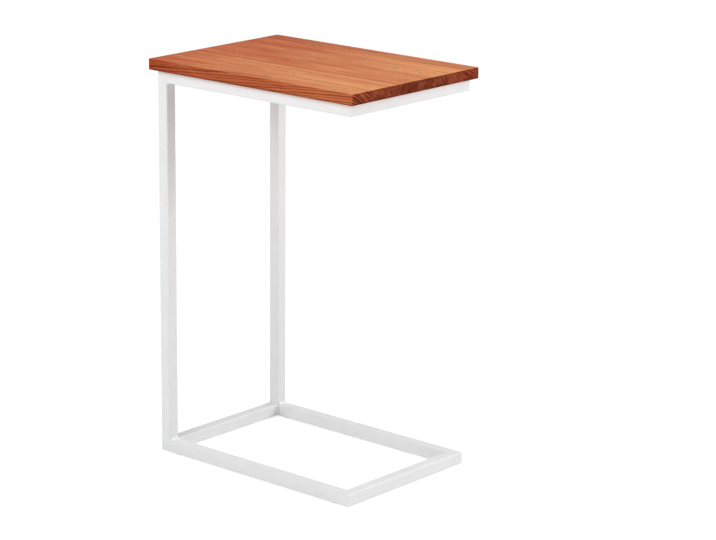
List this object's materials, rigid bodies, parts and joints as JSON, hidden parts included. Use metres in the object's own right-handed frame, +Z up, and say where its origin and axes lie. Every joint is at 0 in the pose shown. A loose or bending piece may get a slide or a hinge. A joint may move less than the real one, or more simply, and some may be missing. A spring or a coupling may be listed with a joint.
{
  "type": "c-shaped side table",
  "caption": "C-shaped side table: welded white square-tube frame with an open front that slides over a seat, under a stained edge-glued wooden top.",
  "frame": {"origin": "on the floor under the middle of the top: the bottom centre of the bounding box", "axes": "+Z up, +X towards the open front of the C, away from the uprights; left is -Y and right is +Y"},
  "size_m": [0.432, 0.304, 0.662],
  "materials": {
    "white_powder_coat": "satin white powder coat",
    "stained_softwood": "red-brown stain under satin lacquer, grain along the length",
    "white_nylon": "matt",
    "zinc_plated_steel": "bright zinc plate"
  },
  "bodies": {
    "root": {"left_base_rail": "white_powder_coat", "left_upright": "white_powder_coat", "left_top_rail": "white_powder_coat", "right_base_rail": "white_powder_coat", "right_upright": "white_powder_coat", "right_top_rail": "white_powder_coat", "base_front_bar": "white_powder_coat", "base_rear_bar": "white_powder_coat", "top_front_bar": "white_powder_coat", "top_rear_bar": "white_powder_coat", "frame_welds": "white_powder_coat", "top_stave_1": "stained_softwood", "top_stave_2": "stained_softwood", "top_stave_3": "stained_softwood", "top_stave_4": "stained_softwood", "top_stave_5": "stained_softwood", "top_stave_6": "stained_softwood", "top_stave_7": "stained_softwood", "top_stave_8": "stained_softwood", "floor_glides": "white_nylon", "top_screws": "zinc_plated_steel"}
  },
  "joints": []
}
